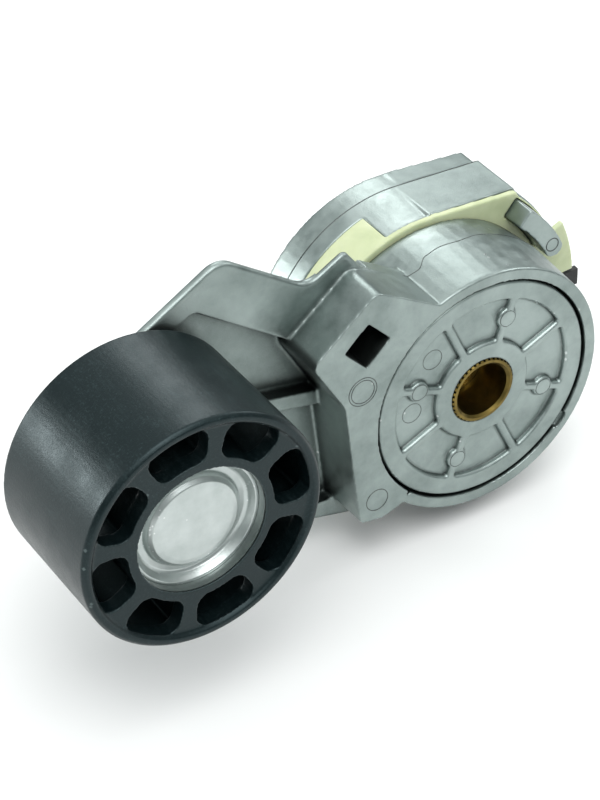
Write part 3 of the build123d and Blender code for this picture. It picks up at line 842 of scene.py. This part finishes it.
def swept(
    name: str,
    path: Sequence[Vector],
    outward: Callable[[Vector], Vector],
    section: Sequence[tuple[float, float]],
    closed: bool = False,
) -> bpy.types.Object:
    """Sweep a small section along a path.

    Args:
        name: The piece's name.
        path: Points of the path.
        outward: Gives the outward direction at a point.
        section: Points of the section, as distances across the path and outward.
        closed: Whether the path ends where it starts.

    Returns:
        The swept piece.
    """
    work = bmesh.new()
    rows = []
    count = len(path)
    for index, point in enumerate(path):
        before = path[index - 1] if closed or index else point
        after = path[(index + 1) % count] if closed or index < count - 1 else point
        along = (after - before).normalized()
        out = outward(point)
        out = (out - along * out.dot(along)).normalized()
        across = along.cross(out)
        rows.append([work.verts.new(point + across * a + out * o) for a, o in section])
    sides = len(section)
    spans = count if closed else count - 1
    for index in range(spans):
        first, second = rows[index], rows[(index + 1) % count]
        for side in range(sides):
            after = (side + 1) % sides
            work.faces.new((first[side], first[after], second[after], second[side]))
    if not closed:
        work.faces.new(rows[0][::-1])
        work.faces.new(rows[-1])
    bmesh.ops.recalc_face_normals(work, faces=work.faces)
    mesh = bpy.data.meshes.new(name)
    work.to_mesh(mesh)
    work.free()
    smooth_faces(mesh)
    return link(name, mesh)


def from_pivot(point: Vector) -> Vector:
    """Outward direction from the pivot axis."""
    return Vector((point.x, 0, point.z)).normalized()


class Skin:
    """Surface of a finished piece, on which fine lines are laid."""

    def __init__(self, piece: bpy.types.Object) -> None:
        """Prepare the surface.

        Args:
            piece: The finished piece.
        """
        bpy.context.view_layer.update()
        graph = bpy.context.evaluated_depsgraph_get()
        self.tree = BVHTree.FromObject(piece, graph)
        low, high = cad_box
        self.reach = (high - low).length

    def beside(self, degrees: float, y: float) -> Vector:
        """Point of the surface met on the way in to the pivot axis.

        Args:
            degrees: Angle about the axis.
            y: Place along the axis.

        Returns:
            The point.
        """
        start = polar(self.reach, degrees, y)
        return self.tree.ray_cast(start, -from_pivot(start))[0]

    def before(self, x: float, z: float) -> Vector:
        """Point of the surface met from the front.

        Args:
            x: Place along X.
            z: Place along Z.

        Returns:
            The point.
        """
        return self.tree.ray_cast(Vector((x, -self.reach, z)), Vector((0, 1, 0)))[0]


@dataclass(frozen=True)
class FineLine:
    """Low ridge that a mould joint or an ejector pin leaves on a casting."""

    width: float = 0.5 * MM
    height: float = 0.13 * MM
    sunk: float = 0.2 * MM
    crest_share: float = 0.4
    ring_steps: int = 48

    def section(self) -> list[tuple[float, float]]:
        """Points of the ridge's section."""
        half, crest = self.width / 2, self.width / 2 * self.crest_share
        foot = [(-half, -self.sunk), (half, -self.sunk)]
        return foot + [(crest, self.height), (-crest, self.height)]

    def along(self, name: str, path: Sequence[Vector], closed: bool = False) -> bpy.types.Object:
        """Lay the ridge along a path that runs about the pivot axis."""
        return swept(name, path, from_pivot, self.section(), closed)

    def ring(self, name: str, skin: Skin, middle: Vector, radius: float) -> bpy.types.Object:
        """Lay the ridge as a circle on a face that looks forward.

        Args:
            name: The piece's name.
            skin: The surface it lies on.
            middle: Centre of the circle.
            radius: Radius of the circle.

        Returns:
            The ring.
        """
        path = []
        for step in range(self.ring_steps):
            spoke = polar(radius, 360 * step / self.ring_steps, 0)
            path.append(skin.before(middle.x + spoke.x, middle.z + spoke.z))
        return swept(name, path, lambda point: Vector((0, -1, 0)), self.section(), closed=True)


def eased(stops: Sequence[tuple[float, float]], at: float) -> float:
    """Value at a place between stops, easing from one stop to the next.

    Args:
        stops: Places and values, in order of place.
        at: The place.

    Returns:
        The value.
    """
    for (start, low), (end, high) in zip(stops, stops[1:]):
        if at <= end:
            share = min(max((at - start) / (end - start), 0.0), 1.0)
            return low + (high - low) * share * share * (3 - 2 * share)
    return stops[-1][1]


# ---------------------------------------------------------------- sub-assemblies
@dataclass
class SubAssembly:
    """Pieces that belong together and the finishes they take."""

    materials: dict[Slot | Variant, bpy.types.Material]
    made: list[str] = field(default_factory=list)

    def dress(
        self, piece: bpy.types.Object, slot: Slot, variant: Variant | None = None
    ) -> None:
        """Give a piece its finish.

        Args:
            piece: The piece.
            slot: The finish's slot.
            variant: The finish that is used in place of the slot's own.
        """
        piece.data.materials.clear()
        piece.data.materials.append(self.materials[variant or slot])
        self.made.append(piece.name)

    def add(
        self, piece: bpy.types.Object, body: str, slot: Slot, variant: Variant | None = None
    ) -> None:
        """Mount a new piece on a body and finish it.

        Args:
            piece: The piece.
            body: The CAD body it rides on.
            slot: The finish's slot.
            variant: The finish that is used in place of the slot's own.
        """
        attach(piece, body)
        self.dress(piece, slot, variant)

    def keep(self, node: str, slot: Slot, variant: Variant | None = None) -> None:
        """Finish a CAD node that is shown as it is.

        Args:
            node: The node.
            slot: The finish's slot.
            variant: The finish that is used in place of the slot's own.
        """
        self.dress(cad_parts[node], slot, variant)

    def keep_all(self, nodes: Sequence[tuple[str, Slot]]) -> None:
        """Finish CAD nodes that are shown as they are.

        Args:
            nodes: The nodes with their slots.
        """
        for node, slot in nodes:
            self.keep(node, slot)

    def report(self) -> None:
        """Log the pieces made."""
        for name in self.made:
            log.info("%s: %s", type(self).__name__, name)


@dataclass
class Base(SubAssembly):
    """Rear casting with its stops, locating pin and bumper."""

    soft: SoftEdges = SoftEdges(grid=0.5 * MM, passes=3)
    seam: float = -9.75 * MM
    seam_steps: int = 360
    line: FineLine = FineLine(width=0.75 * MM)
    finger_mark: tuple[float, float] = (55.75 * MM, 29.5)
    finger_mark_radius: float = 2.6 * MM
    kept: tuple[tuple[str, Slot], ...] = (
        ("locating_pin", Slot.STEEL),
        ("stop_bumper", Slot.RUBBER),
    )

    def build(self) -> None:
        """Make the casting with its mould lines and finish what is fixed in it."""
        casting = self.soft.apply("base_housing", "base_casting")
        self.add(casting, "base", Slot.CAST, Variant.MACHINED_BASE)
        skin = Skin(casting)
        degrees = [360 * step / self.seam_steps for step in range(self.seam_steps)]
        path = [skin.beside(angle, self.seam) for angle in degrees]
        seam = self.line.along("base_seam_line", path, closed=True)
        self.add(seam, "base", Slot.CAST, Variant.FLASH)
        middle = polar(*self.finger_mark, 0)
        mark = self.line.ring("finger_pin_mark", skin, middle, self.finger_mark_radius)
        self.add(mark, "base", Slot.CAST, Variant.FLASH)
        self.keep_all(self.kept)
        self.report()


@dataclass
class Damper(SubAssembly):
    """Nylon ring with the spring and its seat."""

    soft: SoftEdges = SoftEdges(grid=0.45 * MM, passes=3)
    kept: tuple[tuple[str, Slot], ...] = (
        ("torsion_spring", Slot.SPRING),
        ("spring_seat", Slot.NYLON),
    )

    def build(self) -> None:
        """Make the ring and finish the spring and its seat."""
        ring = self.soft.apply("damper_ring", "damper_nylon")
        self.add(ring, "base", Slot.NYLON)
        self.keep_all(self.kept)
        self.report()


@dataclass
class Pivot(SubAssembly):
    """Tube, bushings, washer and seal about the pivot axis."""

    kept: tuple[tuple[str, Slot], ...] = (
        ("pivot_tube", Slot.ZINC),
        ("centre_bushing", Slot.BRONZE),
        ("rear_pivot_bushing", Slot.BRONZE),
        ("front_pivot_bushing", Slot.BRONZE),
        ("thrust_washer", Slot.STEEL),
        ("dust_seal", Slot.RUBBER),
    )

    def build(self) -> None:
        """Finish the pieces."""
        self.keep_all(self.kept)
        self.report()


@dataclass
class Cover(SubAssembly):
    """Ribbed front cover."""

    soft: SoftEdges = SoftEdges(grid=0.35 * MM, passes=5)
    mark_circle: float = 28.3 * MM
    pad_mark_angles: tuple[float, ...] = (70.5, 160.5, 250.5, 340.5)
    pad_mark_radius: float = 3.1 * MM
    floor_mark_angles: tuple[float, ...] = (136.0, 180.0)
    floor_mark_radius: float = 3.9 * MM
    line: FineLine = FineLine(width=0.4 * MM, height=0.08 * MM)

    def build(self) -> None:
        """Make the cover and its ejector marks."""
        cover = self.soft.apply("front_cover", "cover_casting")
        self.add(cover, "base", Slot.CAST, Variant.COVER)
        skin = Skin(cover)
        marks = [(angle, self.pad_mark_radius) for angle in self.pad_mark_angles]
        marks += [(angle, self.floor_mark_radius) for angle in self.floor_mark_angles]
        for number, (angle, radius) in enumerate(marks, 1):
            middle = polar(self.mark_circle, angle, 0)
            mark = self.line.ring(f"cover_pin_mark_{number}", skin, middle, radius)
            self.add(mark, "base", Slot.CAST, Variant.FLASH)
        self.report()


@dataclass
class Arm(SubAssembly):
    """Arm casting with the stepped parting line round its barrel."""

    soft: SoftEdges = SoftEdges(grid=0.5 * MM, passes=3)
    line: FineLine = FineLine()
    parting: tuple[tuple[float, float], ...] = (
        (-66.0, -47.8 * MM),
        (66.0, -47.5 * MM),
        (77.0, -47.2 * MM),
        (87.0, -48.3 * MM),
        (96.0, -47.5 * MM),
        (103.0, -48.3 * MM),
        (109.5, -51.8 * MM),
        (116.0, -51.2 * MM),
    )
    parting_steps: int = 260
    ear_angles: tuple[float, float] = (112.0, 134.0)
    ear_reach: float = 66 * MM
    ear_rear: float = -51.2 * MM
    boss_marks: tuple[tuple[float, float, float], ...] = (
        (54.4 * MM, 158.4, 5.6 * MM),
        (54.4 * MM, 158.4, 4.6 * MM),
        (52.9 * MM, 214.0, 4.4 * MM),
    )

    def thin_ear(self, casting: bpy.types.Object) -> None:
        """Draw the block behind the plate's ear in, so that the ear's edge stands thin.

        Args:
            casting: The arm casting.
        """
        start, end = self.ear_angles
        for vertex in casting.data.vertices:
            point = vertex.co
            reach = math.hypot(point.x, point.z)
            degrees = math.degrees(math.atan2(point.z, point.x))
            if point.y > self.ear_rear and start < degrees < end and reach > self.ear_reach:
                vertex.co = polar(self.ear_reach, degrees, point.y)

    def parting_path(self, skin: Skin) -> list[Vector]:
        """Points of the parting line round the barrel.

        Args:
            skin: The arm's surface.

        Returns:
            The points, from below the barrel up to the boss.
        """
        start, end = self.parting[0][0], self.parting[-1][0]
        points = []
        for step in range(self.parting_steps + 1):
            degrees = start + (end - start) * step / self.parting_steps
            points.append(skin.beside(degrees, eased(self.parting, degrees)))
        return points

    def build(self) -> None:
        """Make the casting, its parting line and its ejector marks."""
        casting = self.soft.apply("tensioner_arm", "arm_casting")
        self.thin_ear(casting)
        self.add(casting, "arm", Slot.CAST, Variant.ARM)
        skin = Skin(casting)
        parting = self.line.along("arm_parting_line", self.parting_path(skin))
        self.add(parting, "arm", Slot.CAST, Variant.FLASH)
        for number, (reach, angle, radius) in enumerate(self.boss_marks, 1):
            middle = polar(reach, angle, 0)
            mark = self.line.ring(f"boss_pin_mark_{number}", skin, middle, radius)
            self.add(mark, "arm", Slot.CAST, Variant.FLASH)
        self.report()


@dataclass
class Pulley(SubAssembly):
    """Idler pulley with its steel liner, cap and retaining ring."""

    soft: SoftEdges = SoftEdges(grid=0.42 * MM, passes=3)
    cap_soft: SoftEdges = SoftEdges(grid=0.22 * MM, passes=3)

    def build(self) -> None:
        """Make the moulding and finish the steel pieces."""
        moulding = self.soft.apply("idler_pulley", "pulley_moulding")
        self.add(moulding, "pulley", Slot.PULLEY)
        self.keep("pulley_insert", Slot.STEEL, Variant.LINER)
        self.keep("retaining_ring", Slot.SPRING)
        cap = self.cap_soft.apply("dust_cap", "pressed_dust_cap")
        self.add(cap, "pulley", Slot.CAP)
        self.report()


@dataclass
class Bearing(SubAssembly):
    """Double-row ball bearing with its seals, and what clamps it to the arm."""

    kept: tuple[tuple[str, Slot], ...] = (
        ("bearing_outer_ring", Slot.BEARING),
        ("bearing_inner_ring", Slot.BEARING),
        ("bearing_balls", Slot.BEARING),
        ("bearing_cage", Slot.CAGE),
        ("front_bearing_seal", Slot.RUBBER),
        ("rear_bearing_seal", Slot.RUBBER),
        ("bearing_spacer", Slot.STEEL),
        ("clamp_washer", Slot.STEEL),
        ("pulley_bolt", Slot.ZINC),
    )

    def build(self) -> None:
        """Finish the bearing, spacer, washer and bolt."""
        self.keep_all(self.kept)
        self.report()


# ---------------------------------------------------------------- studio
def direction_at(azimuth: float, elevation: float) -> Vector:
    """Unit direction away from the object.

    Args:
        azimuth: Angle in degrees about +Z, from -Y towards +X.
        elevation: Angle in degrees above the horizon.

    Returns:
        The direction.
    """
    turn, lift = math.radians(azimuth), math.radians(elevation)
    return Vector(
        (math.sin(turn) * math.cos(lift), -math.cos(turn) * math.cos(lift), math.sin(lift))
    )


@dataclass(frozen=True)
class Lamp:
    """Square soft box: its direction in degrees, its side in metres and its power in watts."""

    name: str
    azimuth: float
    elevation: float
    size: float
    power: float


@dataclass
class Studio:
    """Floor, soft light and camera."""

    azimuth: float = -32.5
    elevation: float = 37.3
    distance: float = 0.9537
    aim_right: float = -7.4 * MM
    aim_up: float = -2.9 * MM
    lens: float = 126.0
    sensor: float = 36.0
    floor_size: float = 8.0
    floor_colour: Colour = (0.86, 0.865, 0.86, 1.0)
    floor_roughness: float = 0.9
    floor_specular: float = 0.1
    sky: tuple[tuple[float, Colour], ...] = (
        (0.0, (0.14, 0.16, 0.16, 1.0)),
        (0.45, (0.30, 0.33, 0.33, 1.0)),
        (0.85, (0.95, 0.97, 0.97, 1.0)),
    )
    sky_strength: float = 1.25
    lamp_distance: float = 1.2
    lamps: tuple[Lamp, ...] = (
        Lamp("rear_softbox", azimuth=152.0, elevation=39.0, size=0.42, power=2.9),
        Lamp("left_strip", azimuth=-133.0, elevation=11.0, size=0.26, power=4.2),
        Lamp("front_softbox", azimuth=-20.0, elevation=60.0, size=0.8, power=8.0),
        Lamp("side_softbox", azimuth=95.0, elevation=35.0, size=0.5, power=3.0),
    )

    @property
    def middle(self) -> Vector:
        """Centre of the CAD's box."""
        low, high = cad_box
        return (low + high) / 2

    def hang(self, name: str, data: bpy.types.ID, place: Vector, away: Vector) -> bpy.types.Object:
        """Hang a camera or a lamp so that it looks back against its direction.

        Args:
            name: The object's name.
            data: The camera's or the lamp's settings.
            place: Where it hangs.
            away: Its direction from the object.

        Returns:
            The object.
        """
        made = bpy.data.objects.new(name, data)
        made.location = place
        made.rotation_euler = (-away).to_track_quat("-Z", "Y").to_euler()
        bpy.context.scene.collection.objects.link(made)
        return made

    def camera(self) -> None:
        """Set up the camera."""
        turn = math.radians(self.azimuth)
        back = direction_at(self.azimuth, self.elevation)
        right = Vector((math.cos(turn), math.sin(turn), 0))
        up = back.cross(right)
        data = bpy.data.cameras.new("studio_camera")
        data.lens = self.lens
        data.sensor_width = self.sensor
        place = self.middle + right * self.aim_right + up * self.aim_up + back * self.distance
        bpy.context.scene.camera = self.hang("studio_camera", data, place, back)

    def floor(self) -> None:
        """Lay the floor under the object."""
        low, _ = cad_box
        middle, half = self.middle, self.floor_size / 2
        work = bmesh.new()
        outline = [(-half, -half), (half, -half), (half, half), (-half, half)]
        work.faces.new([work.verts.new((middle.x + x, middle.y + y, low.z)) for x, y in outline])
        mesh = bpy.data.meshes.new("floor")
        work.to_mesh(mesh)
        work.free()
        made = link("floor", mesh)
        shader = Shader("floor_paper")
        shader.set(
            Base_Color=self.floor_colour,
            Roughness=self.floor_roughness,
            Specular_IOR_Level=self.floor_specular,
        )
        mesh.materials.append(shader.material)

    def light(self, lamp: Lamp) -> None:
        """Hang one soft box.

        Args:
            lamp: The soft box.
        """
        away = direction_at(lamp.azimuth, lamp.elevation)
        data = bpy.data.lights.new(lamp.name, "AREA")
        data.shape = "SQUARE"
        data.size = lamp.size
        data.energy = lamp.power
        self.hang(lamp.name, data, self.middle + away * self.lamp_distance, away)

    def world(self) -> None:
        """Light the room evenly, paler above than at the horizon."""
        world = bpy.data.worlds.new("studio")
        world.use_nodes = True
        bpy.context.scene.world = world
        tree = world.node_tree
        background = tree.nodes["Background"]
        direction = tree.nodes.new("ShaderNodeTexCoord")
        parts = tree.nodes.new("ShaderNodeSeparateXYZ")
        ramp = tree.nodes.new("ShaderNodeValToRGB")
        Shader.set_stops(ramp.color_ramp, self.sky)
        tree.links.new(direction.outputs["Generated"], parts.inputs[0])
        tree.links.new(parts.outputs["Z"], ramp.inputs[0])
        tree.links.new(ramp.outputs[0], background.inputs["Color"])
        background.inputs["Strength"].default_value = self.sky_strength

    def build(self) -> None:
        """Set up the whole studio."""
        bpy.context.scene.view_settings.view_transform = "Standard"
        self.camera()
        self.floor()
        self.world()
        for lamp in self.lamps:
            self.light(lamp)
        log.info("studio ready")


def main() -> None:
    """Build the sub-assemblies and the studio."""
    logging.basicConfig(level=logging.INFO, format="%(message)s")
    materials = finishes()
    for kind in (Base, Damper, Pivot, Cover, Arm, Pulley, Bearing):
        kind(materials).build()
    Studio().build()


if __name__ == "__main__":
    main()
